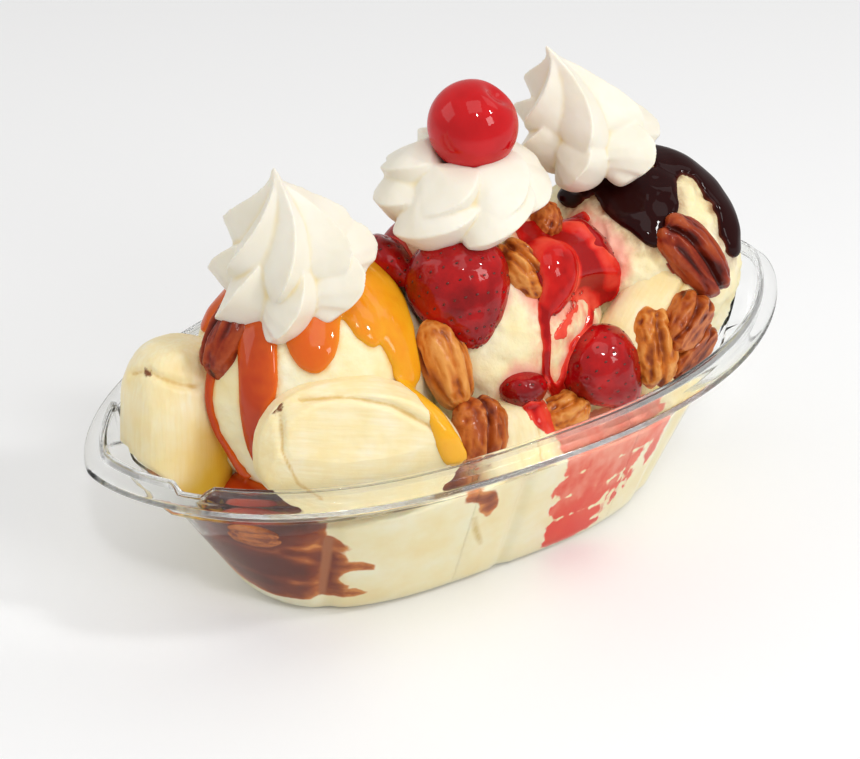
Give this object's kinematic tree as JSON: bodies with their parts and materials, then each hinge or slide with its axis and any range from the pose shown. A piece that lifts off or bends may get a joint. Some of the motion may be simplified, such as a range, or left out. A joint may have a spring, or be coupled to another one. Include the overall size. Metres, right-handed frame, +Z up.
{
  "type": "banana split dessert",
  "caption": "Banana split in a clear plastic boat dish: vanilla scoops with whipped cream, cherry, banana, strawberries, pecans and dessert sauces.",
  "frame": {"origin": "on the table, under the middle of the dish", "axes": "+X along the dish towards the scoop with chocolate sauce, +Y away from the side with the banana slice, +Z up"},
  "size_m": [0.214, 0.1094, 0.1425],
  "materials": {
    "clear_plastic": "clear thermoformed sheet, glossy, slightly milky in the folded rim",
    "vanilla_ice_cream": "pale cream yellow ice cream, soft sheen where it melts",
    "whipped_cream": "warm white, smooth, satin",
    "cherry_red": "deep clear red, wet gloss",
    "strawberry_red": "dark red fruit under a glossy syrup",
    "banana_flesh": "pale yellow flesh, satin",
    "pecan_brown": "red-brown toasted nut, slightly oily"
  },
  "bodies": {
    "root": {"dish": "clear_plastic", "scoop_left": "vanilla_ice_cream", "scoop_middle": "vanilla_ice_cream", "scoop_right": "vanilla_ice_cream", "cream_left": "whipped_cream", "cream_middle": "whipped_cream", "cream_right": "whipped_cream", "cherry": "cherry_red", "strawberry_big": "strawberry_red", "strawberry_centre": "strawberry_red", "strawberry_back_right": "strawberry_red", "strawberry_front_right": "strawberry_red", "strawberry_small": "strawberry_red", "strawberry_far_left": "strawberry_red", "strawberry_back": "strawberry_red", "banana_front": "banana_flesh", "banana_left": "banana_flesh", "banana_front_middle": "banana_flesh", "banana_right": "banana_flesh", "banana_back": "banana_flesh", "pecan_left": "pecan_brown", "pecan_centre": "pecan_brown", "pecan_top": "pecan_brown", "pecan_long": "pecan_brown", "pecan_round": "pecan_brown", "pecan_front": "pecan_brown", "pecan_ridged": "pecan_brown", "pecan_right_upper": "pecan_brown", "pecan_right_under": "pecan_brown", "pecan_big": "pecan_brown", "pecan_back_left": "pecan_brown", "pecan_back_right": "pecan_brown"}
  },
  "joints": []
}
